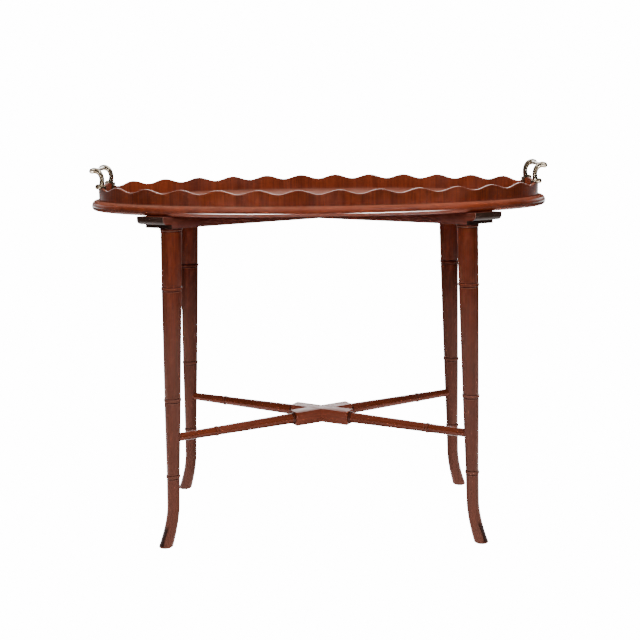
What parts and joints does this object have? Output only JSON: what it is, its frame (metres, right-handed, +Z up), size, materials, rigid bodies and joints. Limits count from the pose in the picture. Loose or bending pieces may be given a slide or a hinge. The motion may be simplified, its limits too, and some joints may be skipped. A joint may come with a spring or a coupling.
{
  "type": "tray top coffee table",
  "caption": "Oval mahogany tray with a scalloped gallery and brass grip handles, lifting off a stand of crossed beams, turned bamboo-style sabre-footed legs and crossed stretchers",
  "frame": {"origin": "on the floor, under the centre of the table's bounding box", "axes": "+X along the tray's long side towards the right handle, +Y towards the back, +Z up"},
  "size_m": [0.72, 0.3519, 0.5821],
  "materials": {
    "mahogany_board": "polished red-brown mahogany",
    "mahogany_gallery": "worn satin mahogany",
    "mahogany_stand": "satin mahogany",
    "brass_handles": "aged pale brass",
    "turned_pegs": "plain wood",
    "steel_screws": "dull steel"
  },
  "bodies": {
    "stand": {"top_beam_a": "mahogany_stand", "top_beam_b": "mahogany_stand", "locating_pegs": "turned_pegs", "leg_back_right": "mahogany_stand", "leg_back_left": "mahogany_stand", "leg_front_left": "mahogany_stand", "leg_front_right": "mahogany_stand", "stretcher_a": "mahogany_stand", "stretcher_b": "mahogany_stand", "lap_screws": "steel_screws"},
    "tray": {"tray_board": "mahogany_board", "gallery_back": "mahogany_gallery", "gallery_front": "mahogany_gallery", "handle_right_arm_front": "brass_handles", "handle_right_arm_back": "brass_handles", "handle_left_arm_back": "brass_handles", "handle_left_arm_front": "brass_handles", "handle_right_grip": "brass_handles", "handle_left_grip": "brass_handles"}
  },
  "joints": [
    {"name": "tray_lift", "type": "slide", "parent": "stand", "child": "tray", "axis": [0, 0, 1], "range_m": [0, 0.15]}
  ]
}
